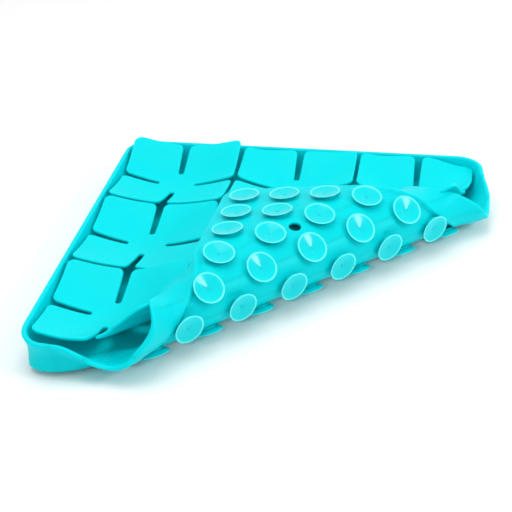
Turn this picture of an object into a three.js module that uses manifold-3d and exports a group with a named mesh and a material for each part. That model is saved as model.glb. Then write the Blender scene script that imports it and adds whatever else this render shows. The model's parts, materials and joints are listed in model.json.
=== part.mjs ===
// A square silicone treat mat with its front right corner rolled over onto its top face.
// Millimetres, +Z up. The origin is under the middle of the mat, in the plane of the suction cups' rims.
// The mat is drawn flat first. Its front right corner is then turned over by five parallel bends, whose
// axes run from the front left towards the back right corner: one rigid band lies between two bends.
import * as THREE from "three";
import { mergeVertices } from "three/addons/utils/BufferGeometryUtils.js";
import { TessellateModifier } from "three/addons/modifiers/TessellateModifier.js";
import Module from "manifold-3d";

const wasm = await Module();
wasm.setup();

// Driving dimensions of the flat mat.
const SHEET_THICKNESS = 2;
const RIM = { foot: 120, lip: 125, height: 21.4, footWidth: 3.4, lipWidth: 2.6, corner: 12 };
const CUP = { pitch: 26, count: 9, radius: 9.6, neck: 2.2, depth: 3, hollow: 1.3, lip: 1.3 };
const PETALS = { pitch: 82.1, gap: 2.4, outerEdge: 119, pressedEdge: 115.5, slot: 4.5, hub: 12.5, thickness: 2.2,
  corner: 5, matCorner: 10 };
const DISH = { centre: 9.6, rise: 8.5, reach: 40, pressedCentre: 9, pressedRise: 1 };
const POST = { radius: 4, foot: 5 };
const HOLE = { radius: 3.8, place: 65 };
const GAP = 0.3;

// The bends: each takes up the flat length between two diagonal rows of cups, starting one row past the
// middle of the mat. Turned together they bring the corner over onto the petals.
const HALF_DIAGONAL = RIM.lip * Math.SQRT2;
const ROW = CUP.pitch / Math.SQRT2;
const FOLD_START = HALF_DIAGONAL + ROW;
const BENDS = [24, 58, 56, 28, 22].map((degrees) => {
  const angle = THREE.MathUtils.degToRad(degrees);
  return { angle, radius: ROW / 2 / Math.tan(angle / 2) };
});

// The flat place of each bend's axis along the diagonal.
const AXES = BENDS.map((_, i) => FOLD_START + (i + 0.5) * ROW);

const UP = new THREE.Vector3(0, 0, 1);
const ALONG_FOLD = new THREE.Vector3(1, 1, 0).normalize();
const ACROSS_FOLD = new THREE.Vector3(1, -1, 0).normalize();

const silicone = new THREE.MeshStandardMaterial({ color: 0x00e4ee, roughness: 0.42, metalness: 0 });
const petalSilicone = new THREE.MeshStandardMaterial({ color: 0x00f0f8, roughness: 0.42, metalness: 0 });

// Where a point of the flat mat goes when the corner is rolled over.
function rolled(point) {
  const along = point.dot(ALONG_FOLD);
  const flat = point.dot(ACROSS_FOLD) + HALF_DIAGONAL;
  let start = FOLD_START;
  let turned = 0;
  let across = Math.min(flat, start);
  let rise = 0;
  for (const bend of BENDS) {
    const share = THREE.MathUtils.clamp((flat - start) / ROW, 0, 1);
    const next = turned + share * bend.angle;
    across += bend.radius * (Math.sin(next) - Math.sin(turned));
    rise += bend.radius * (Math.cos(turned) - Math.cos(next));
    turned = next;
    start += ROW;
  }
  const rest = Math.max(flat - start, 0);
  across += rest * Math.cos(turned) - point.z * Math.sin(turned);
  rise += rest * Math.sin(turned) + point.z * Math.cos(turned);
  return new THREE.Vector3()
    .addScaledVector(ALONG_FOLD, along)
    .addScaledVector(ACROSS_FOLD, across - HALF_DIAGONAL)
    .addScaledVector(UP, rise);
}

// A geometry as a solid, and a solid as a geometry.
function solid(geometry) {
  const bare = geometry.index ? geometry.toNonIndexed() : geometry.clone();
  bare.deleteAttribute("normal");
  bare.deleteAttribute("uv");
  const merged = mergeVertices(bare, 1e-4);
  const vertProperties = merged.attributes.position.array;
  const triVerts = new Uint32Array(merged.index.array);
  return new wasm.Manifold(new wasm.Mesh({ numProp: 3, vertProperties, triVerts }));
}

function geometryOf(body) {
  const { vertProperties, triVerts } = body.getMesh();
  const geometry = new THREE.BufferGeometry();
  geometry.setAttribute("position", new THREE.BufferAttribute(new Float32Array(vertProperties), 3));
  geometry.setIndex(new THREE.BufferAttribute(new Uint32Array(triVerts), 1));
  geometry.computeVertexNormals();
  return geometry;
}

// A closed outline through the corners, each rounded to its own radius.
function roundedShape(corners) {
  const shape = new THREE.Shape();
  corners.forEach(({ at, radius }, i) => {
    const before = corners[(i + corners.length - 1) % corners.length].at;
    const after = corners[(i + 1) % corners.length].at;
    const from = at.clone().add(before.clone().sub(at).setLength(radius));
    const to = at.clone().add(after.clone().sub(at).setLength(radius));
    if (i === 0) shape.moveTo(from.x, from.y);
    else shape.lineTo(from.x, from.y);
    if (radius > 0) shape.quadraticCurveTo(at.x, at.y, to.x, to.y);
  });
  shape.closePath();
  return shape;
}

function roundedSquare(half, radius) {
  const signs = [[1, 1], [-1, 1], [-1, -1], [1, -1]];
  return roundedShape(signs.map(([x, y]) => ({ at: new THREE.Vector2(x * half, y * half), radius })));
}

function slab(shape, bottom, thickness, curveSegments) {
  const options = { depth: thickness, bevelEnabled: false, curveSegments };
  return new THREE.ExtrudeGeometry(shape, options).translate(0, 0, bottom);
}

// A closed ring whose section has one corner per outline, each at its own height.
function ring(levels) {
  const loops = levels.map(({ half, height, corner }) =>
    roundedSquare(half, corner).getPoints(5).slice(1).map((p) => new THREE.Vector3(p.x, p.y, height)));
  const count = loops[0].length;
  const positions = loops.flat().flatMap((p) => p.toArray());
  const index = [];
  loops.forEach((_, level) => {
    const next = (level + 1) % loops.length;
    for (let i = 0; i < count; i++) {
      const j = (i + 1) % count;
      const [a, b] = [level * count + i, level * count + j];
      const [c, d] = [next * count + j, next * count + i];
      index.push(a, b, c, a, c, d);
    }
  });
  const geometry = new THREE.BufferGeometry();
  geometry.setAttribute("position", new THREE.Float32BufferAttribute(positions, 3));
  geometry.setIndex(index);
  return geometry;
}

// A prism along the fold, from its section of [distance along the diagonal, height] corners.
function foldPrism(section) {
  const reach = 2 * HALF_DIAGONAL;
  const shape = new THREE.Shape(section.map(([flat, height]) => new THREE.Vector2(flat, height)));
  const geometry = new THREE.ExtrudeGeometry(shape, { depth: reach, bevelEnabled: false });
  const place = new THREE.Matrix4().makeBasis(ACROSS_FOLD, UP, ALONG_FOLD.clone().negate());
  const origin = ACROSS_FOLD.clone().multiplyScalar(-HALF_DIAGONAL);
  place.setPosition(origin.addScaledVector(ALONG_FOLD, reach / 2));
  return solid(geometry.applyMatrix4(place));
}

// The space of one band of the mat, mitred at the bends so that neighbours stay clear when rolled up.
function bandSpace(band) {
  const below = -1;
  const top = RIM.height + 1;
  const lean = (bend) => Math.tan(bend.angle / 2);
  const near = band > 0 ? AXES[band - 1] + GAP / 2 : -1;
  const far = band < AXES.length ? AXES[band] - GAP / 2 : 3 * HALF_DIAGONAL;
  const nearLean = band > 0 ? lean(BENDS[band - 1]) : 0;
  const farLean = band < AXES.length ? lean(BENDS[band]) : 0;
  const height = Math.min(top, (far - near - GAP) / (nearLean + farLean));
  const nearTop = near + height * nearLean;
  const farTop = far - height * farLean;
  return foldPrism([[near, below], [far, below], [far, 0], [farTop, height], [nearTop, height], [near, 0]]);
}

const bandOf = (x, y) => {
  const flat = (x - y) / Math.SQRT2 + HALF_DIAGONAL;
  return AXES.filter((axis) => axis < flat).length;
};

// One suction cup: a short neck, and a dish whose rim is a narrow flat ring.
function cupSolid(x, y) {
  const { radius, neck, depth, hollow, lip } = CUP;
  const profile = [[0, hollow - depth], [radius - lip, -depth], [radius, -depth], [radius, 0.5 - depth],
    [neck, -1.1], [neck, SHEET_THICKNESS / 4], [0, SHEET_THICKNESS / 4]];
  const lathe = new THREE.LatheGeometry(profile.map(([r, h]) => new THREE.Vector2(r, h)), 8);
  return solid(lathe.rotateX(Math.PI / 2).translate(x, y, 0));
}

function cupsOf(band) {
  const places = Array.from({ length: CUP.count }, (_, i) => (i - (CUP.count - 1) / 2) * CUP.pitch);
  return places.flatMap((x) => places.filter((y) => bandOf(x, y) === band).map((y) => cupSolid(x, y)));
}

function holeSolids() {
  const signs = [[1, 1], [-1, 1], [-1, -1], [1, -1]];
  return signs.map(([x, y]) => {
    const drill = new THREE.CylinderGeometry(HOLE.radius, HOLE.radius, 3 * SHEET_THICKNESS, 12);
    return solid(drill.rotateX(Math.PI / 2).translate(x * HOLE.place, y * HOLE.place, 0));
  });
}

const sheetHalf = RIM.foot - RIM.footWidth - GAP;
let wholeSheet = solid(slab(roundedSquare(sheetHalf, RIM.corner - RIM.footWidth), 0, SHEET_THICKNESS, 6));
for (const hole of holeSolids()) wholeSheet = wholeSheet.subtract(hole);

const wholeRim = solid(ring([
  { half: RIM.foot, height: 0, corner: RIM.corner },
  { half: RIM.lip, height: RIM.height, corner: RIM.corner + 3 },
  { half: RIM.lip - RIM.lipWidth, height: RIM.height, corner: RIM.corner },
  { half: RIM.foot - RIM.footWidth, height: 0, corner: RIM.corner - RIM.footWidth },
]));

function bandSheet(band) {
  let sheet = wholeSheet.intersect(bandSpace(band));
  for (const cup of cupsOf(band)) sheet = sheet.add(cup);
  return geometryOf(sheet);
}

// The four-petalled plate's outline about its middle, with a slot between neighbouring petals.
function petalShape(reach, column, row) {
  const { slot, hub, corner, matCorner } = PETALS;
  const quadrant = (sx, sy) => {
    const [ex, ey] = [sx > 0 ? reach.right : reach.left, sy > 0 ? reach.back : reach.front];
    const tip = sx === column && sy === row ? matCorner : corner;
    const corners = [[hub, slot / 2, 0], [ex, slot / 2, corner], [ex, ey, tip], [slot / 2, ey, corner],
      [slot / 2, hub, 0]];
    return (sx * sy > 0 ? corners : corners.reverse())
      .map(([x, y, radius]) => ({ at: new THREE.Vector2(sx * x, sy * y), radius }));
  };
  return roundedShape([quadrant(1, 1), quadrant(-1, 1), quadrant(-1, -1), quadrant(1, -1)].flat());
}

// A petal plate's top stands higher the further it is from its post. What lies inside the roll is pressed.
function dishHeight(x, y, column, row) {
  const [dx, dy] = [x - column * PETALS.pitch, y - row * PETALS.pitch];
  const share = (dx * dx + dy * dy) / DISH.reach ** 2;
  const free = DISH.centre + DISH.rise * share;
  const pressed = DISH.pressedCentre + DISH.pressedRise * share;
  const underCorner = column >= 0 && row <= 0;
  const flat = (x - y) / Math.SQRT2 + HALF_DIAGONAL;
  const nearRoll = THREE.MathUtils.smoothstep(flat, FOLD_START - 20, FOLD_START + 5);
  return THREE.MathUtils.lerp(free, pressed, underCorner ? 1 : nearRoll);
}

function petalPlate(column, row) {
  const inner = (PETALS.pitch - PETALS.gap) / 2;
  const rolledIn = column >= row;
  const outer = (rolledIn ? PETALS.pressedEdge : PETALS.outerEdge) - PETALS.pitch;
  const reach = {
    right: column > 0 ? outer : inner,
    left: column < 0 ? outer : inner,
    back: row > 0 ? outer : inner,
    front: row < 0 ? outer : inner,
  };
  const longestEdge = rolledIn ? 12 : 60;
  const flat = slab(petalShape(reach, column, row), -PETALS.thickness, PETALS.thickness, 2);
  flat.translate(column * PETALS.pitch, row * PETALS.pitch, 0);
  const plate = new TessellateModifier(longestEdge, 8).modify(flat);
  const position = plate.attributes.position;
  const point = new THREE.Vector3();
  for (let i = 0; i < position.count; i++) {
    point.fromBufferAttribute(position, i);
    point.z += dishHeight(point.x, point.y, column, row);
    if (rolledIn) point.copy(rolled(point));
    position.setXYZ(i, point.x, point.y, point.z);
  }
  plate.computeVertexNormals();
  return plate;
}

function post(column, row) {
  const bottom = SHEET_THICKNESS + GAP;
  const centre = column >= 0 && row <= 0 ? DISH.pressedCentre : DISH.centre;
  const top = centre - PETALS.thickness - 2 * GAP;
  const geometry = new THREE.CylinderGeometry(POST.radius, POST.foot, top - bottom, 12);
  geometry.rotateX(Math.PI / 2);
  return geometry.translate(column * PETALS.pitch, row * PETALS.pitch, (top + bottom) / 2);
}

function named(name, geometry, material) {
  const mesh = new THREE.Mesh(geometry, material);
  mesh.name = name;
  return mesh;
}

// Each band hangs in the frame of the one before it, turned about the bend between them.
const mat = new THREE.Group();
mat.position.z = CUP.depth;
const bands = [new THREE.Group()];
mat.add(bands[0]);
AXES.forEach((axis, i) => {
  const point = ACROSS_FOLD.clone().multiplyScalar(axis - HALF_DIAGONAL);
  const hinge = new THREE.Group();
  hinge.position.copy(point);
  hinge.quaternion.setFromAxisAngle(ALONG_FOLD, -BENDS[i].angle);
  const band = new THREE.Group();
  band.position.copy(point.negate());
  bands[i].add(hinge);
  hinge.add(band);
  bands.push(band);
});

const bandNames = ["base", "fold_1", "fold_2", "fold_3", "fold_4", "flap"];
bandNames.forEach((name, i) => {
  bands[i].add(named(`${name}_sheet_with_cups`, bandSheet(i), silicone));
  const rimPieces = wholeRim.intersect(bandSpace(i)).decompose();
  const middle = (piece) => {
    const { min, max } = piece.boundingBox();
    return min[0] + max[0] + min[1] + max[1];
  };
  rimPieces.sort((a, b) => middle(a) - middle(b));
  const sides = rimPieces.length === 1 ? [""] : ["_front", "_right"];
  rimPieces.forEach((piece, j) => bands[i].add(named(`${name}_rim${sides[j]}`, geometryOf(piece), silicone)));
});

const columnNames = { "-1": "left", 0: "middle", 1: "right" };
const rowNames = { "-1": "front", 0: "centre", 1: "back" };
for (const column of [-1, 0, 1]) {
  for (const row of [-1, 0, 1]) {
    const place = `${rowNames[row]}_${columnNames[column]}`;
    const band = bands[bandOf(column * PETALS.pitch, row * PETALS.pitch)];
    band.add(named(`post_${place}`, post(column, row), silicone));
    const holder = column >= row ? mat : band;
    holder.add(named(`petals_${place}`, petalPlate(column, row), petalSilicone));
  }
}

export default mat;
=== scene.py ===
import json
import math

import bmesh
import bpy
import numpy as np
from mathutils import Matrix, Vector
from mathutils.geometry import delaunay_2d_cdt

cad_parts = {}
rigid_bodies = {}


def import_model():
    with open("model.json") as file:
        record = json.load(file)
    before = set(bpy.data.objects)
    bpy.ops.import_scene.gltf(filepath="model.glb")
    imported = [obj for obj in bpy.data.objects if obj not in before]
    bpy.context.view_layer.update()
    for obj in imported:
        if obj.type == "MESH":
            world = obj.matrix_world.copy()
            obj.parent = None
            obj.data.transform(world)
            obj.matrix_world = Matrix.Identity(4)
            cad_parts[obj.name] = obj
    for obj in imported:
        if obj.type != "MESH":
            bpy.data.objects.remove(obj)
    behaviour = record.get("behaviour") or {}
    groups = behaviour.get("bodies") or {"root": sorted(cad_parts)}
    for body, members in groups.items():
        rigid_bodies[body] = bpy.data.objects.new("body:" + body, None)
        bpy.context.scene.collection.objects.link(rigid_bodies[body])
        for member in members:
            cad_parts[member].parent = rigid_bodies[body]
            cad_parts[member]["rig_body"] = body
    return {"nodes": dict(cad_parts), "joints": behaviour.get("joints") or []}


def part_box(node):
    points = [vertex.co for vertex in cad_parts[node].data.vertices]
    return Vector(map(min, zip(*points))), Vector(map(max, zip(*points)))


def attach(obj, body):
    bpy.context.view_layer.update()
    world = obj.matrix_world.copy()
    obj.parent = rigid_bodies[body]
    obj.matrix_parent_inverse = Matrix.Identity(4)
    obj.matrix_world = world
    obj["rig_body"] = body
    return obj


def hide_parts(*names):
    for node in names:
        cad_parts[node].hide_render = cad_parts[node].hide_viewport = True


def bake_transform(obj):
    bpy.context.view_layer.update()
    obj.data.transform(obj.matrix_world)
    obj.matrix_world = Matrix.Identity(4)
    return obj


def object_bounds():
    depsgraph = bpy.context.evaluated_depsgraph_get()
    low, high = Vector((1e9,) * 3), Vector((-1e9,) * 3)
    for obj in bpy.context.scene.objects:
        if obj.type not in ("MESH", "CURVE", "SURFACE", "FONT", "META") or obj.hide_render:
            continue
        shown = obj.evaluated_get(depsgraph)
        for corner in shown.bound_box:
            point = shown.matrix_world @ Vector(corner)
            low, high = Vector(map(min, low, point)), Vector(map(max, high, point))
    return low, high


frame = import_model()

# A silicone treat mat whose front right corner is rolled over onto its top face.
# Each piece is drawn on the flat mat, cut along the bends, and then rolled up with them.
# Metres, +Z up. On the flat mat a height is measured from the sheet's underside.
cad_low, cad_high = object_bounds()
MM = 0.001
UP = np.array([0.0, 0.0, 1.0])

# Allowances for rounding errors in cuts and divisions, in triangles, and against division by zero.
SLACK = 1e-6
TRIANGLE_SLACK = 1e-7
NEVER_ZERO = 1e-12

# The roll, read from the frame: bends of one length that follow each other across the fold.
JOINTS = frame["joints"]
BODIES = [JOINTS[0]["parent"]] + [joint["child"] for joint in JOINTS]
HINGES = [np.array(joint["pos_m"]) for joint in JOINTS]
ANGLES = [math.radians(joint["range_deg"][1]) for joint in JOINTS]
ALONG = np.array(JOINTS[0]["axis"]) / np.linalg.norm(JOINTS[0]["axis"])
ACROSS = np.cross(ALONG, UP)
BEND_LENGTH = float(np.linalg.norm(HINGES[1] - HINGES[0]))
BENDS = len(JOINTS)
FIRST_BEND = float(HINGES[0] @ ACROSS) - BEND_LENGTH / 2
BOUNDARIES = [FIRST_BEND + BEND_LENGTH * i for i in range(BENDS + 1)]
UNDERSIDE = float(HINGES[0][2])

# Half the mat's width over its lip, how far out the centres of its corners lie, and its sheet's thickness.
HALF = (cad_high.x - cad_low.x) / 2
CORNER_CENTRE = HALF - 17 * MM
SHEET = float(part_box("base_sheet_with_cups")[1].z) - UNDERSIDE


def clamp(value, low, high):
    return np.clip(value, low, high)


def smooth(value, low, high):
    """0 up to low, 1 from high on, and a smooth step between them."""
    share = clamp((value - low) / (high - low), 0, 1)
    return share * share * (3 - 2 * share)


def roll(flat, start=FIRST_BEND, length=BEND_LENGTH, angles=ANGLES):
    """Where points of the flat mat go, and how far the mat has turned there."""
    across = flat @ ACROSS
    height = flat[:, 2]
    turned = np.zeros(len(flat))
    place = np.minimum(across, start)
    rise = np.zeros(len(flat))
    for angle in angles:
        radius = length / 2 / math.tan(angle / 2)
        following = turned + clamp((across - start) / length, 0, 1) * angle
        place = place + radius * (np.sin(following) - np.sin(turned))
        rise = rise + radius * (np.cos(turned) - np.cos(following))
        turned = following
        start += length
    rest = np.maximum(across - start, 0)
    place = place + rest * np.cos(turned) - height * np.sin(turned)
    rise = rise + rest * np.sin(turned) + height * np.cos(turned)
    along = np.outer(flat @ ALONG, ALONG)
    return along + np.outer(place, ACROSS) + np.outer(rise + UNDERSIDE, UP), turned


# ---------------------------------------------------------------- surfaces on the flat mat

# What the triangulation keeps: the triangles inside the outermost edges.
INSIDE_EDGES = 1


class Shell:
    """A surface under construction: its points and its faces."""

    def __init__(self):
        self.points = []
        self.faces = []

    def loop(self, outline, height):
        """Adds an outline's points at a height, and returns their numbers as a ring."""
        first = len(self.points)
        self.points += [(x, y, height) for x, y in outline]
        return list(range(first, first + len(outline)))

    def outline(self, ring):
        return [self.points[i][:2] for i in ring]

    def wall(self, lower, upper):
        for i in range(len(lower)):
            j = (i + 1) % len(lower)
            self.faces.append((lower[i], lower[j], upper[j], upper[i]))

    def walls(self, rings):
        for lower, upper in zip(rings, rings[1:]):
            self.wall(lower, upper)

    def cap(self, rings, inner, height, faces_up=True):
        """Fills the first ring, less the others, through inner points."""
        known = [index for ring in rings for index in ring]
        indices = known + self.loop(inner, height)
        flat = [Vector(point) for point in self.outline(indices)]
        edges = []
        start = 0
        for ring in rings:
            edges += [(start + i, start + (i + 1) % len(ring)) for i in range(len(ring))]
            start += len(ring)
        filled = delaunay_2d_cdt(flat, edges, [], INSIDE_EDGES, TRIANGLE_SLACK)
        triangles, originals = filled[2:4]
        holes = [np.array(self.outline(ring)) for ring in rings[1:]]
        for triangle in triangles:
            corners = [indices[originals[v][0]] for v in triangle]
            centre = np.mean(self.outline(corners), axis=0)
            if any(inside(centre[None], hole)[0] for hole in holes):
                continue
            self.faces.append(tuple(corners if faces_up else reversed(corners)))

    def array(self):
        return np.array(self.points, float)


def inside(points, outline):
    """Which points an outline holds."""
    held = np.zeros(len(points), bool)
    following = np.roll(outline, -1, axis=0)
    for (ax, ay), (bx, by) in zip(outline, following):
        if ay == by:
            continue
        crosses = (ay > points[:, 1]) != (by > points[:, 1])
        held ^= crosses & (points[:, 0] < ax + (points[:, 1] - ay) * (bx - ax) / (by - ay))
    return held


def inner_points(outline, clearance, fine, coarse, along_step, holes=()):
    """Points inside an outline in rows along the fold, in finer rows where the mat bends."""
    outline = np.array(outline)
    reach = np.abs(outline).max() * math.sqrt(2)
    first, last = BOUNDARIES[0], BOUNDARIES[-1]
    rows = [
        *np.arange(first - coarse, -reach, -coarse),
        *np.linspace(first, last, round((last - first) / fine) + 1),
        *np.arange(last + coarse, reach, coarse),
    ]
    steps = np.arange(-reach, reach, along_step)
    grid = np.array([ACROSS[:2] * row + ALONG[:2] * step for row in rows for step in steps])
    grid = grid[inside(grid, outline)]
    for ring in [outline, *holes]:
        near = np.min(np.linalg.norm(grid[:, None] - np.array(ring)[None], axis=2), axis=1)
        grid = grid[near > clearance]
    for hole in holes:
        grid = grid[~inside(grid, np.array(hole))]
    return [tuple(point) for point in grid]


def circle(x, y, radius, steps=20):
    angles = [2 * math.pi * i / steps for i in range(steps)]
    return [(x + radius * math.cos(angle), y + radius * math.sin(angle)) for angle in angles]


def rounded(corners, longest, arc_steps=6):
    """A closed outline through (x, y, radius) corners, as points no further apart than longest."""
    outline = []
    for i, (x, y, radius) in enumerate(corners):
        here = np.array((x, y))
        back = np.array(corners[i - 1][:2]) - here
        ahead = np.array(corners[(i + 1) % len(corners)][:2]) - here
        back, ahead = back / np.linalg.norm(back), ahead / np.linalg.norm(ahead)
        half_angle = math.acos(float(clamp(back @ ahead, -1, 1))) / 2
        middle = (back + ahead) / np.linalg.norm(back + ahead)
        centre = here + middle * radius / math.sin(half_angle)
        start = here + back * radius / math.tan(half_angle) - centre
        sweep = math.pi - 2 * half_angle
        side = math.copysign(1, start[1] * back[0] - start[0] * back[1])
        for step in range(arc_steps + 1):
            angle = side * sweep * step / arc_steps
            c, s = math.cos(angle), math.sin(angle)
            spoke = np.array((start[0] * c - start[1] * s, start[0] * s + start[1] * c))
            outline.append(centre + spoke)
    filled = []
    for i, point in enumerate(outline):
        following = outline[(i + 1) % len(outline)]
        count = max(1, math.ceil(np.linalg.norm(following - point) / longest - SLACK))
        filled += [tuple(point + (following - point) * k / count) for k in range(count)]
    return filled


def inset(outline, distance):
    """An outline moved inwards. It runs anticlockwise."""
    points = np.array(outline)
    tangent = np.roll(points, -1, axis=0) - np.roll(points, 1, axis=0)
    tangent /= np.linalg.norm(tangent, axis=1)[:, None]
    inward = np.stack([-tangent[:, 1], tangent[:, 0]], axis=1)
    return points + inward * distance


def lathe(profile, steps):
    """A closed turned shape about Z. Its outline of (radius, height) starts and ends on the axis."""
    shell = Shell()
    first, last = profile[0], profile[-1]
    loops = [shell.loop(circle(0, 0, radius, steps), height) for radius, height in profile[1:-1]]
    shell.walls(loops)
    for (_, height), ring, faces_up in ((first, loops[0], False), (last, loops[-1], True)):
        tip = len(shell.points)
        shell.points.append((0, 0, height))
        for i in range(steps):
            j = (i + 1) % steps
            shell.faces.append((ring[i], ring[j], tip) if faces_up else (ring[j], ring[i], tip))
    return shell


# ---------------------------------------------------------------- from surfaces to pieces

def vertex_normals(points, faces):
    """Smooth normals, weighted by the area of each face."""
    normals = np.zeros_like(points)
    for face in faces:
        corners = points[list(face)]
        spokes = corners[1:] - corners[0]
        normals[list(face)] += np.cross(spokes[:-1], spokes[1:]).sum(axis=0)
    lengths = np.linalg.norm(normals, axis=1)
    return normals / np.maximum(lengths, NEVER_ZERO)[:, None]


def set_normals(mesh, normals):
    mesh.normals_split_custom_set_from_vertices([tuple(normal) for normal in normals])


def mesh_object(name, points, faces, materials):
    mesh = bpy.data.meshes.new(name)
    mesh.from_pydata([tuple(point) for point in points], [], faces)
    for material in materials:
        mesh.materials.append(material)
    mesh.polygons.foreach_set("use_smooth", [True] * len(faces))
    obj = bpy.data.objects.new(name, mesh)
    bpy.context.scene.collection.objects.link(obj)
    return obj


def cut(points, faces, boundaries):
    """Cuts a surface on the flat mat where each bend starts and ends."""
    bm = bmesh.new()
    corners = [bm.verts.new(point) for point in points]
    for face in faces:
        bm.faces.new([corners[i] for i in face])
    for place in boundaries:
        everything = [*bm.verts, *bm.edges, *bm.faces]
        bmesh.ops.bisect_plane(bm, geom=everything, dist=SLACK, plane_co=ACROSS * place, plane_no=ACROSS)
    bm.verts.index_update()
    cut_points = np.array([vertex.co for vertex in bm.verts])
    cut_faces = [[vertex.index for vertex in face.verts] for face in bm.faces]
    bm.free()
    return cut_points, cut_faces


def renumbered(faces):
    """Which points some faces use, and the faces with those points numbered from 0."""
    used = sorted({index for face in faces for index in face})
    number = {index: i for i, index in enumerate(used)}
    return used, [[number[index] for index in face] for face in faces]


def rolled_pieces(name, points, faces, material, slot, nodes_of, mapping=roll, boundaries=BOUNDARIES):
    """Cuts a flat surface into its rigid ends and its bends, and rolls them up.

    Zone 0 lies before the first boundary, each bend is a zone, and the last zone is the far end.
    """
    flat, faces = cut(points, faces, boundaries)
    places, _ = mapping(flat)
    normals = vertex_normals(places, faces)
    middles = np.array([flat[face].mean(axis=0) for face in faces]) @ ACROSS
    zones = np.searchsorted(boundaries, middles).tolist()
    last = len(boundaries)
    for zone in sorted(set(zones)):
        used, own_faces = renumbered([face for face, other in zip(faces, zones) if other == zone])
        bends = 0 < zone < last
        body = BODIES[0] if zone == 0 else BODIES[last - 1]
        part = f"bend_{zone}" if bends else body
        obj = mesh_object(f"{name}_{part}", flat[used], own_faces, [material])
        if bends:
            start, end = (tuple(ACROSS * boundaries[i]) for i in (zone - 1, zone))
            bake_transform(obj)
            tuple(start)
            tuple(end)
        obj.data.vertices.foreach_set("co", places[used].astype(np.float32).ravel())
        obj.data.update()
        set_normals(obj.data, normals[used])
        if not bends:
            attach(obj, body)
        nodes = nodes_of(zone)
        if nodes:
            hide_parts(*nodes)


def place_at(x, y):
    """Where a small part that stands on the flat mat at a place goes: its foot and its three directions."""
    (origin,), (angle,) = roll(np.array([[x, y, 0.0]]))
    tangent = math.cos(angle) * ACROSS + math.sin(angle) * UP
    normal = math.cos(angle) * UP - math.sin(angle) * ACROSS
    return origin, np.array([tangent, np.cross(normal, tangent), normal])


def body_at(x, y):
    """The number of the body that carries a small part. On a bend it is the nearer end's."""
    bends_past = (np.array((x, y, 0.0)) @ ACROSS - BOUNDARIES[0]) / BEND_LENGTH
    return int(clamp(math.floor(bends_past + 0.5), 0, BENDS))


# ---------------------------------------------------------------- tray

WALL_HEIGHT = float(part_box("base_rim")[1].z) - UNDERSIDE
# The steps in each of its corners and along each of its sides.
ARC_STEPS = 12
SIDE_STEPS = 112
# The four drain holes lie this far from the mat's middle in both directions.
HOLE_PLACE = 65 * MM
HOLE_RADIUS = 3.8 * MM

# How the roll bears on the wall, by the place across the fold: (mm, amount).
# The wall leans outwards by so many degrees, and its foot moves outwards by so many mm.
FRONT_LEAN = [(0, 8), (38, 96), (50, 106), (74, 44), (82, 38), (98, 0)]
FRONT_PUSH = [(0, 4), (28, -6.5), (80, -6), (98, -1)]
RIGHT_LEAN = [(0, 6), (33, 89), (52, 72), (76, 52), (94, 5)]
RIGHT_PUSH = [(0, -0.5), (9, -1), (30, -6.5), (60, -6), (75, -1.5), (98, 0)]
# The front wall bellies outwards below its lip, and its left end also bulges to the left.
FRONT_BELLY = [(0, 4), (12, 4), (26, 0)]
LEFT_BELLY = 2.5 * MM

# The wall turns about this distance from the mat's middle.
SPLAY_FOOT = 118.5 * MM
# The push, the lean and the belly each grow from nothing to all between two distances from the
# mat's middle. The belly fades out between two heights.
PUSH_ZONE = (92 * MM, 114 * MM)
LEAN_ZONE = (111 * MM, 119 * MM)
BELLY_ZONE = (106 * MM, 118 * MM)
BELLY_FADE = (2 * MM, 10 * MM)


def square_loop(half):
    """A rounded square about the middle of the mat, with the same count of points for every size."""
    radius = half - CORNER_CENTRE
    diagonal = CORNER_CENTRE * math.sqrt(2)
    points = []
    for quarter in range(4):
        turn = quarter * math.pi / 2
        cx = diagonal * math.cos(turn + math.pi / 4)
        cy = diagonal * math.sin(turn + math.pi / 4)
        for step in range(ARC_STEPS + 1):
            angle = turn + step / ARC_STEPS * math.pi / 2
            points.append((cx + radius * math.cos(angle), cy + radius * math.sin(angle)))
        x0, y0 = points[-1]
        for step in range(1, SIDE_STEPS):
            go = step / SIDE_STEPS * 2 * CORNER_CENTRE
            points.append((x0 - go * math.cos(turn), y0 - go * math.sin(turn)))
    return points


def through(across, keys):
    """An amount that passes smoothly through its keys."""
    total = np.full(len(across), float(keys[0][1]))
    for (start, low), (end, high) in zip(keys, keys[1:]):
        total += (high - low) * smooth(across, start * MM, end * MM)
    return total


def wall_core(points):
    """The nearest places on the square that the wall's corners turn about."""
    x, y = (clamp(points[:, i], -CORNER_CENTRE, CORNER_CENTRE) for i in (0, 1))
    return np.stack([x, y, np.zeros(len(points))], axis=1)


def pushed_edges(points):
    """The roll shifts the front and the right edge of the mat, and bellies the front wall out."""
    x, y, z = points.T
    across = wall_core(points) @ ACROSS
    moved = points.copy()
    moved[:, 1] -= through(across, FRONT_PUSH) * MM * smooth(-y, *PUSH_ZONE)
    moved[:, 0] += through(across, RIGHT_PUSH) * MM * smooth(x, *PUSH_ZONE)
    belly = smooth(-y, *BELLY_ZONE) * (1 - smooth(z, *BELLY_FADE))
    moved[:, 1] -= through(across, FRONT_BELLY) * MM * belly
    moved[:, 0] -= LEFT_BELLY * belly * smooth(-x, *BELLY_ZONE)
    return moved


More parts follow.
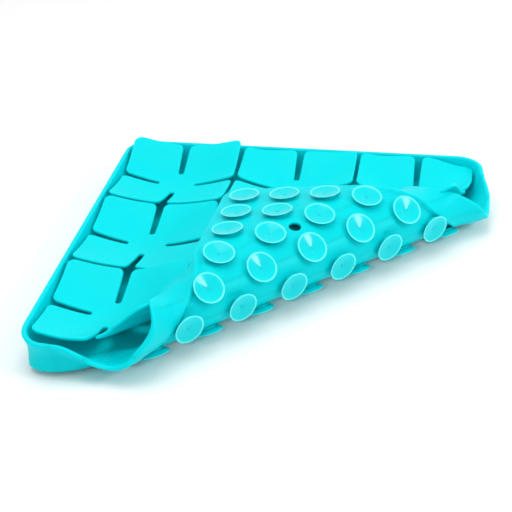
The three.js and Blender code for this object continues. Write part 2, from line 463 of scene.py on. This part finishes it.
def splay(points):
    """Leans the wall outwards about its foot, on the front and the right of the mat."""
    core = wall_core(points)
    outward = points - core
    outward[:, 2] = 0
    distance = np.linalg.norm(outward, axis=1)
    outward /= np.maximum(distance, NEVER_ZERO)[:, None]
    across = core @ ACROSS
    front, right = (np.radians(through(across, keys)) for keys in (FRONT_LEAN, RIGHT_LEAN))
    lean = front * clamp(-outward[:, 1], 0, 1) ** 2 + right * clamp(outward[:, 0], 0, 1) ** 2
    half = distance + CORNER_CENTRE
    lean *= smooth(half, *LEAN_ZONE)
    out = half - SPLAY_FOOT
    up = points[:, 2] - SHEET / 2
    new_out = out * np.cos(lean) + up * np.sin(lean)
    new_up = up * np.cos(lean) - out * np.sin(lean)
    new_distance = SPLAY_FOOT + new_out - CORNER_CENTRE
    moved = core + outward * new_distance[:, None] + np.outer(new_up + SHEET / 2, UP)
    return np.where((distance > 0)[:, None], moved, points)


def wall_section():
    """The wall as (half width, height), from below the floor, over the lip and down to the floor's top."""
    foot = HALF - 4.3 * MM
    waist = WALL_HEIGHT * 0.55
    return [
        (HALF - 8 * MM, 0),
        (foot - 1.5 * MM, 0),
        (foot - 0.4 * MM, 0.35 * MM),
        (foot, 1.2 * MM),
        (foot - 0.1 * MM, 2.2 * MM),
        (foot + 0.3 * MM, 4.5 * MM),
        (HALF - 2.2 * MM, waist),
        (HALF - 0.35 * MM, WALL_HEIGHT - 2.2 * MM),
        (HALF, WALL_HEIGHT - 1.2 * MM),
        (HALF - 0.3 * MM, WALL_HEIGHT - 0.35 * MM),
        (HALF - 1.0 * MM, WALL_HEIGHT),
        (HALF - 2.2 * MM, WALL_HEIGHT),
        (HALF - 2.9 * MM, WALL_HEIGHT - 0.35 * MM),
        (HALF - 3.2 * MM, WALL_HEIGHT - 1.2 * MM),
        (HALF - 5.0 * MM, waist),
        (HALF - 7.0 * MM, 5.5 * MM),
        (HALF - 7.9 * MM, 3.6 * MM),
        (HALF - 9.3 * MM, 2.5 * MM),
        (HALF - 11.2 * MM, SHEET),
    ]


def drain_hole(shell, x, y):
    """Adds the wall of a drain hole with rounded edges, and returns its top and its bottom ring."""
    edge = [(0.5 * MM, 0), (0.12 * MM, 0.2 * MM), (0, 0.6 * MM)]
    bore = [(wider, SHEET - depth) for wider, depth in edge] + edge[::-1]
    rings = [shell.loop(circle(x, y, HOLE_RADIUS + wider), height) for wider, height in bore]
    shell.walls(rings)
    return rings[0], rings[-1]


def tray_shell():
    """The floor, its drain holes and the wall with its rounded lip, as one closed moulding."""
    shell = Shell()
    loops = [shell.loop(square_loop(half), height) for half, height in wall_section()]
    shell.walls(loops)
    places = [(x, y) for x in (-HOLE_PLACE, HOLE_PLACE) for y in (-HOLE_PLACE, HOLE_PLACE)]
    tops, bottoms = zip(*[drain_hole(shell, x, y) for x, y in places])
    for outer, holes, height, faces_up in ((loops[-1], tops, SHEET, True), (loops[0], bottoms, 0, False)):
        inner = inner_points(
            shell.outline(outer), clearance=1.2 * MM, fine=BEND_LENGTH / 12,
            coarse=9 * MM, along_step=8 * MM, holes=[shell.outline(hole) for hole in holes],
        )
        shell.cap([outer, *holes], inner, height, faces_up)
    return shell


def tray_nodes(zone):
    """A bend takes the place of the band that it leads to. The last one leads to the flap's own piece."""
    if zone == 0:
        return ["base_sheet_with_cups", "base_rim"]
    if zone > BENDS:
        return ["flap_sheet_with_cups", "flap_rim"]
    if zone == BENDS:
        return []
    return [f"fold_{zone}_sheet_with_cups", f"fold_{zone}_rim_front", f"fold_{zone}_rim_right"]


def build_tray(material):
    shell = tray_shell()
    points = pushed_edges(splay(shell.array()))
    rolled_pieces("tray", points, shell.faces, material, "tray_silicone", tray_nodes)


# ---------------------------------------------------------------- suction cups

CUP_PITCH = 26 * MM
CUP_COUNT = 9
CUP_RADIUS = 9.6 * MM
CUP_STEPS = 40
NECK = 4.6 * MM

# The lip's painted highlight lies outside a radius and below a height over the cup's rim, the dish's inside
# a radius.
LIP_INNER = 8.4 * MM
LIP_HEIGHT = 0.4 * MM
DISH_RADIUS = 8.6 * MM

# The finishes of a cup, in the order of its materials. The lip's is a painted highlight: lighter, with a
# touch of red.
BODY_FINISH = 0
LIP_PAINTED_HIGHLIGHT = 1
DISH_FINISH = 2


def cup_shell():
    """A suction cup that hangs from the sheet: a flared neck, a shallow cone with a thin lip, and a nub."""
    rim = -UNDERSIDE
    hollow = rim + 1.5 * MM
    neck = [
        (0, 0.8 * MM),
        (NECK + 2.6 * MM, 0.8 * MM),
        (NECK + 2.2 * MM, 0.05 * MM),
        (NECK + 0.8 * MM, -0.3 * MM),
        (NECK, -0.75 * MM),
        (NECK + 0.5 * MM, -1.0 * MM),
        (6.9 * MM, -1.4 * MM),
    ]
    lip = [
        (8.6 * MM, rim + 0.9 * MM),
        (CUP_RADIUS - 0.1 * MM, rim + 0.36 * MM),
        (CUP_RADIUS, rim + 0.15 * MM),
        (CUP_RADIUS - 0.15 * MM, rim),
        (CUP_RADIUS - 0.5 * MM, rim),
        (CUP_RADIUS - 0.8 * MM, rim + 0.14 * MM),
        (CUP_RADIUS - 1.1 * MM, rim + 0.3 * MM),
    ]
    dish_and_nub = [
        (6 * MM, rim + 0.75 * MM),
        (3 * MM, rim + 1.2 * MM),
        (1.2 * MM, hollow),
        (0.95 * MM, hollow),
        (0.75 * MM, hollow - 0.4 * MM),
        (0.35 * MM, hollow - 0.55 * MM),
        (0, hollow - 0.58 * MM),
    ]
    profile = neck + lip + dish_and_nub
    return lathe(profile[::-1], CUP_STEPS)


def cup_finishes(cup):
    """The finish of each of a cup's faces."""
    points = cup.array()
    radius = np.linalg.norm(points[:, :2], axis=1)
    on_lip = (radius > LIP_INNER) & (points[:, 2] < LIP_HEIGHT - UNDERSIDE)
    # A cup's points start at its nub, so the first half of them is on the hollow side.
    hollow_side = np.arange(len(points)) < len(points) / 2
    in_dish = (radius < DISH_RADIUS) & hollow_side
    finishes = []
    for face in cup.faces:
        corners = list(face)
        if on_lip[corners].all():
            finishes.append(LIP_PAINTED_HIGHLIGHT)
        else:
            finishes.append(DISH_FINISH if in_dish[corners].all() else BODY_FINISH)
    return finishes


def build_cups(materials):
    """The cups on each body, as one piece."""
    cup = cup_shell()
    points = cup.array()
    finishes = cup_finishes(cup)
    places = [(i - (CUP_COUNT - 1) / 2) * CUP_PITCH for i in range(CUP_COUNT)]
    groups = {}
    for x in places:
        for y in places:
            groups.setdefault(body_at(x, y), []).append(place_at(x, y))
    for body, spots in sorted(groups.items()):
        all_points = np.concatenate([points @ directions + origin for origin, directions in spots])
        starts = range(0, len(all_points), len(points))
        all_faces = [tuple(start + i for i in face) for start in starts for face in cup.faces]
        obj = mesh_object("cups_" + BODIES[body], all_points, all_faces, materials)
        set_normals(obj.data, vertex_normals(all_points, all_faces))
        obj.data.polygons.foreach_set("material_index", finishes * len(spots))
        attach(obj, BODIES[body])
        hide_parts(f"{BODIES[body]}_sheet_with_cups")


# ---------------------------------------------------------------- petal plates and their posts

# The plates by column and row: each stands on a post, and four slots part its petals.
COLUMNS = {-1: "left", 0: "middle", 1: "right"}
ROWS = {-1: "front", 0: "centre", 1: "back"}
PLATE_PITCH = 82.1 * MM
PLATE_GAP = 2.4 * MM
PLATE_EDGE = 119.4 * MM
PLATE_THICKNESS = 2.2 * MM
EDGE_ROUND = 0.9 * MM
PETAL_CORNER = 5 * MM
MAT_CORNER = 6.5 * MM
SLOT_MOUTH = 2.5 * MM
MOUTH_ROUND = PETAL_CORNER * 0.8
SLOT_END = 1.7 * MM
SLOT_END_ROUND = SLOT_END * 0.95
HUB = 12.5 * MM

# A free plate is a dish: its height over the post, its slope far from it and how wide its middle curves.
PLATE_HEIGHT = 9.6 * MM
DISH_SLOPE = 0.43
DISH_CURVE = 30 * MM
# The back edge curls up: its lift grows from nothing to all between two distances from the mat's middle.
BACK_LIFT = 5 * MM
BACK_ZONE = (84 * MM, 121 * MM)
# A plate inside the roll is pressed down: its height over the post, and its rise at a distance.
PRESSED_EDGE = 115.5 * MM
PRESSED_HEIGHT = 9 * MM
PRESSED_RISE = 1 * MM
PRESSED_REACH = 40 * MM

# How much higher than its plain dish a petal's corner lies, by plate and by petal: (column, row), mm.
CORNER_LIFT = {
    (-1, 1): {(-1, 1): 0.6, (1, 1): 0.6},
    (0, 1): {(-1, 1): -4.5, (1, 1): -3.3},
    (1, 1): {(-1, 1): -4.5, (1, 1): -10.5, (-1, -1): 5, (1, -1): 6.5},
    (-1, 0): {(1, -1): -5},
    (-1, -1): {(1, 1): 5, (1, -1): 6.5},
}
# It grows from nothing to all between two distances from the plate's middle, along each side.
CORNER_ZONE = (3 * MM, 36 * MM)

# The roll lifts the petal that it starts beneath: a plate at an end of the fold bends up past its post,
# by the angle of the mat's first bend.
PUSH_START = 14 * MM
PUSH_LENGTH = 24 * MM
PUSH_ANGLE = ANGLES[0]


def in_roll(column, row):
    return column >= 0 and row <= 0


def dish_height(x, y, column, row):
    """The height of a plate's top."""
    dx, dy = x - column * PLATE_PITCH, y - row * PLATE_PITCH
    if in_roll(column, row):
        return PRESSED_HEIGHT + PRESSED_RISE * (dx * dx + dy * dy) / PRESSED_REACH ** 2
    free = PLATE_HEIGHT + DISH_SLOPE * (math.sqrt(dx * dx + dy * dy + DISH_CURVE ** 2) - DISH_CURVE)
    free += BACK_LIFT * smooth(y, *BACK_ZONE)
    for (sx, sy), lift in CORNER_LIFT.get((column, row), {}).items():
        free += lift * MM * smooth(sx * dx, *CORNER_ZONE) * smooth(sy * dy, *CORNER_ZONE)
    return free


def plate_outline(column, row):
    """Four petals that meet at the hub, as one outline."""
    inner = (PLATE_PITCH - PLATE_GAP) / 2
    outer = (PRESSED_EDGE if in_roll(column, row) else PLATE_EDGE) - PLATE_PITCH
    reach_x = {1: outer if column > 0 else inner, -1: outer if column < 0 else inner}
    reach_y = {1: outer if row > 0 else inner, -1: outer if row < 0 else inner}
    corners = []
    for sx, sy in ((1, 1), (-1, 1), (-1, -1), (1, -1)):
        tip = MAT_CORNER if (sx, sy) == (column, row) else PETAL_CORNER
        ex, ey = reach_x[sx], reach_y[sy]
        petal = [
            (HUB, SLOT_END, SLOT_END_ROUND),
            (ex, SLOT_MOUTH, MOUTH_ROUND),
            (ex, ey, tip),
            (SLOT_MOUTH, ey, MOUTH_ROUND),
            (SLOT_END, HUB, SLOT_END_ROUND),
        ]
        if sx * sy < 0:
            petal.reverse()
        corners += [(sx * x, sy * y, radius) for x, y, radius in petal]
    outline = rounded(corners, longest=3 * MM)
    return [(x + column * PLATE_PITCH, y + row * PLATE_PITCH) for x, y in outline]


def plate_shell(column, row):
    """A plate with round edges: drawn level, and then raised to its dish."""
    outline = plate_outline(column, row)
    shell = Shell()
    lower = [(degrees, EDGE_ROUND - PLATE_THICKNESS) for degrees in (-90, -60, -30, 0)]
    upper = [(degrees, -EDGE_ROUND) for degrees in (0, 30, 60, 90)]
    loops = []
    for degrees, middle in lower + upper:
        angle = math.radians(degrees)
        ring = inset(outline, EDGE_ROUND * (1 - math.cos(angle)))
        loops.append(shell.loop(ring, middle + EDGE_ROUND * math.sin(angle)))
    shell.walls(loops)
    inner = inner_points(
        shell.outline(loops[-1]), clearance=1.1 * MM, fine=BEND_LENGTH / 8,
        coarse=3.6 * MM, along_step=3.6 * MM,
    )
    shell.cap([loops[-1]], inner, 0)
    shell.cap([loops[0]], inner, -PLATE_THICKNESS, faces_up=False)
    points = shell.array()
    points[:, 2] += [dish_height(x, y, column, row) for x, y in points[:, :2]]
    return points, shell.faces


def pushed_up(flat):
    return roll(flat, PUSH_START, PUSH_LENGTH, [PUSH_ANGLE])


def build_plates(material):
    for column in COLUMNS:
        for row in ROWS:
            points, faces = plate_shell(column, row)
            node = f"petals_{ROWS[row]}_{COLUMNS[column]}"
            at_fold_end = column == row != 0
            options = {}
            if at_fold_end:
                options = {"mapping": pushed_up, "boundaries": [PUSH_START, PUSH_START + PUSH_LENGTH]}
            name = node + "_plate"
            rolled_pieces(name, points, faces, material, "petal_silicone", lambda zone: [node], **options)


def post_shell(top):
    """A post with a flared foot and a flared head, which ends inside the plate."""
    profile = [
        (0, SHEET - 1 * MM),
        (8 * MM, SHEET - 1 * MM),
        (7.4 * MM, SHEET + 0.1 * MM),
        (5.9 * MM, SHEET + 0.7 * MM),
        (5 * MM, SHEET + 1.8 * MM),
        (4.4 * MM, top - 1.8 * MM),
        (5.2 * MM, top - 0.7 * MM),
        (6.6 * MM, top - 0.1 * MM),
        (7 * MM, top + 0.7 * MM),
        (0, top + 0.7 * MM),
    ]
    return lathe(profile, steps=32)


def build_posts(material):
    for column in COLUMNS:
        for row in ROWS:
            x, y = column * PLATE_PITCH, row * PLATE_PITCH
            shape = post_shell(dish_height(x, y, column, row) - PLATE_THICKNESS)
            origin, directions = place_at(x, y)
            points = shape.array() @ directions + origin
            node = f"post_{ROWS[row]}_{COLUMNS[column]}"
            obj = mesh_object(node + "_flared", points, shape.faces, [material])
            set_normals(obj.data, vertex_normals(points, shape.faces))
            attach(obj, frame["nodes"][node]["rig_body"])
            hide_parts(node)


# ---------------------------------------------------------------- materials

SILICONE_IOR = 1.42
# How far light spreads beneath the surface, as shares of the scale: blue and green more than red.
LIGHT_SPREAD = (0.15, 1.0, 1.1)
LIGHT_SPREAD_SCALE = 4 * MM


def set_inputs(node, **inputs):
    for name, value in inputs.items():
        node.inputs[name.replace("_", " ")].default_value = value


def new_node(tree, kind, **inputs):
    node = tree.nodes.new(kind)
    set_inputs(node, **inputs)
    return node


def new_material(name, **inputs):
    """A material whose shader has the inputs named, with its node tree and its shader."""
    material = bpy.data.materials.new(name)
    material.use_nodes = True
    shader = material.node_tree.nodes["Principled BSDF"]
    set_inputs(shader, **inputs)
    return material, material.node_tree, shader


def mixed_colour(tree, share, first, second):
    mix = tree.nodes.new("ShaderNodeMix")
    mix.data_type = "RGBA"
    set_inputs(mix, A=(*first, 1), B=(*second, 1))
    tree.links.new(share, mix.inputs["Factor"])
    return mix.outputs["Result"]


def silicone(name, light, deep, roughness, subsurface, gloss_level):
    """Satin silicone: faint clouds of colour, uneven gloss, low waves and a fine matt grain."""
    material, tree, shader = new_material(
        name, IOR=SILICONE_IOR, Specular_IOR_Level=gloss_level, Subsurface_Weight=subsurface,
        Subsurface_Radius=LIGHT_SPREAD, Subsurface_Scale=LIGHT_SPREAD_SCALE,
    )
    where = tree.nodes.new("ShaderNodeTexCoord")

    def noise(scale, detail):
        node = new_node(tree, "ShaderNodeTexNoise", Scale=scale, Detail=detail)
        tree.links.new(where.outputs["Object"], node.inputs["Vector"])
        return node.outputs["Fac"]

    clouds = noise(scale=26.0, detail=3.0)
    tree.links.new(mixed_colour(tree, clouds, light, deep), shader.inputs["Base Color"])
    gloss = new_node(tree, "ShaderNodeMapRange", To_Min=roughness - 0.05, To_Max=roughness + 0.07)
    tree.links.new(noise(scale=70.0, detail=4.0), gloss.inputs["Value"])
    tree.links.new(gloss.outputs["Result"], shader.inputs["Roughness"])
    waves = new_node(tree, "ShaderNodeBump", Strength=0.25, Distance=0.8 * MM)
    grain = new_node(tree, "ShaderNodeBump", Strength=0.12, Distance=0.12 * MM)
    tree.links.new(noise(scale=45.0, detail=1.0), waves.inputs["Height"])
    tree.links.new(noise(scale=1500.0, detail=2.0), grain.inputs["Height"])
    tree.links.new(waves.outputs["Normal"], grain.inputs["Normal"])
    tree.links.new(grain.outputs["Normal"], shader.inputs["Normal"])
    return material


def floor_material():
    material, tree, shader = new_material("pale_floor", Roughness=0.9, Specular_IOR_Level=0.1)
    mottle = new_node(tree, "ShaderNodeTexNoise", Scale=3.0, Detail=2.0)
    colour = mixed_colour(tree, mottle.outputs["Fac"], (0.92, 0.92, 0.92), (0.94, 0.94, 0.94))
    tree.links.new(colour, shader.inputs["Base Color"])
    return material


# ---------------------------------------------------------------- camera, light and floor

AZIMUTH = math.radians(11.68)
ELEVATION = math.radians(31.27)
CAMERA_ROLL = math.radians(-2.41)
CAMERA_DISTANCE = 0.8361
CAMERA_TARGET = Vector((-13.3 * MM, 10.6 * MM, UNDERSIDE))
LENS = 91.46
SENSOR_WIDTH = 36
NEAREST_SEEN = 0.01
FLOOR_HALF = 6
FLOOR_GAP = 0.2 * MM
WORLD_STRENGTH = 0.7


def build_camera():
    back = Vector((
        math.sin(AZIMUTH) * math.cos(ELEVATION),
        -math.cos(AZIMUTH) * math.cos(ELEVATION),
        math.sin(ELEVATION),
    ))
    right = Vector(UP).cross(back).normalized()
    above = back.cross(right)
    c, s = math.cos(CAMERA_ROLL), math.sin(CAMERA_ROLL)
    axes = Matrix((right * c + above * s, above * c - right * s, back)).transposed()
    data = bpy.data.cameras.new("camera")
    data.lens = LENS
    data.sensor_width = SENSOR_WIDTH
    data.clip_start = NEAREST_SEEN
    camera = bpy.data.objects.new("camera", data)
    camera.matrix_world = Matrix.Translation(CAMERA_TARGET + back * CAMERA_DISTANCE) @ axes.to_4x4()
    bpy.context.scene.collection.objects.link(camera)
    bpy.context.scene.camera = camera


def build_floor():
    bm = bmesh.new()
    bmesh.ops.create_grid(bm, x_segments=8, y_segments=8, size=FLOOR_HALF)
    mesh = bpy.data.meshes.new("floor")
    bm.to_mesh(mesh)
    bm.free()
    mesh.materials.append(floor_material())
    floor = bpy.data.objects.new("floor", mesh)
    floor.location.z = cad_low.z - FLOOR_GAP
    bpy.context.scene.collection.objects.link(floor)


def build_world():
    world = bpy.data.worlds.new("studio")
    world.use_nodes = True
    set_inputs(world.node_tree.nodes["Background"], Color=(1, 1, 1, 1), Strength=WORLD_STRENGTH)
    bpy.context.scene.world = world
    bpy.context.scene.view_settings.view_transform = "Standard"


def softbox(name, place, size, power):
    """A rectangular lamp that points at the mat's middle."""
    data = bpy.data.lights.new(name, "AREA")
    data.shape = "RECTANGLE"
    data.size, data.size_y = size
    data.energy = power
    light = bpy.data.objects.new(name, data)
    light.location = place
    aim = Vector((0, 0, 0)) - Vector(place)
    light.rotation_mode = "QUATERNION"
    light.rotation_quaternion = aim.to_track_quat("-Z", "Y")
    bpy.context.scene.collection.objects.link(light)


build_camera()
build_floor()
build_world()
softbox("key_softbox", place=(-0.15, 0.0, 1.15), size=(0.9, 0.9), power=6.5)
softbox("side_softbox", place=(0.8, -0.14, 0.583), size=(0.17, 0.2), power=2.4)

tray_material = silicone(
    "tray_silicone_finish", light=(0.0, 0.69, 0.745), deep=(0.0, 0.66, 0.715),
    roughness=0.36, subsurface=0.6, gloss_level=0.08,
)
petal_material = silicone(
    "petal_silicone_finish", light=(0.0, 0.72, 0.775), deep=(0.0, 0.70, 0.755),
    roughness=0.38, subsurface=0.6, gloss_level=0.08,
)
dish_material = silicone(
    "cup_dish_finish", light=(0.0, 0.70, 0.755), deep=(0.0, 0.66, 0.715),
    roughness=0.12, subsurface=0.5, gloss_level=0.25,
)
# The cup's lip is painted lighter than the rest of the silicone, with some red: a painted highlight along
# its thin edge.
lip_highlight_paint_material = silicone(
    "cup_lip_painted_highlight", light=(0.12, 0.95, 0.98), deep=(0.08, 0.9, 0.95),
    roughness=0.25, subsurface=0.4, gloss_level=0.5,
)
build_tray(tray_material)
build_cups([tray_material, lip_highlight_paint_material, dish_material])
build_plates(petal_material)
build_posts(tray_material)
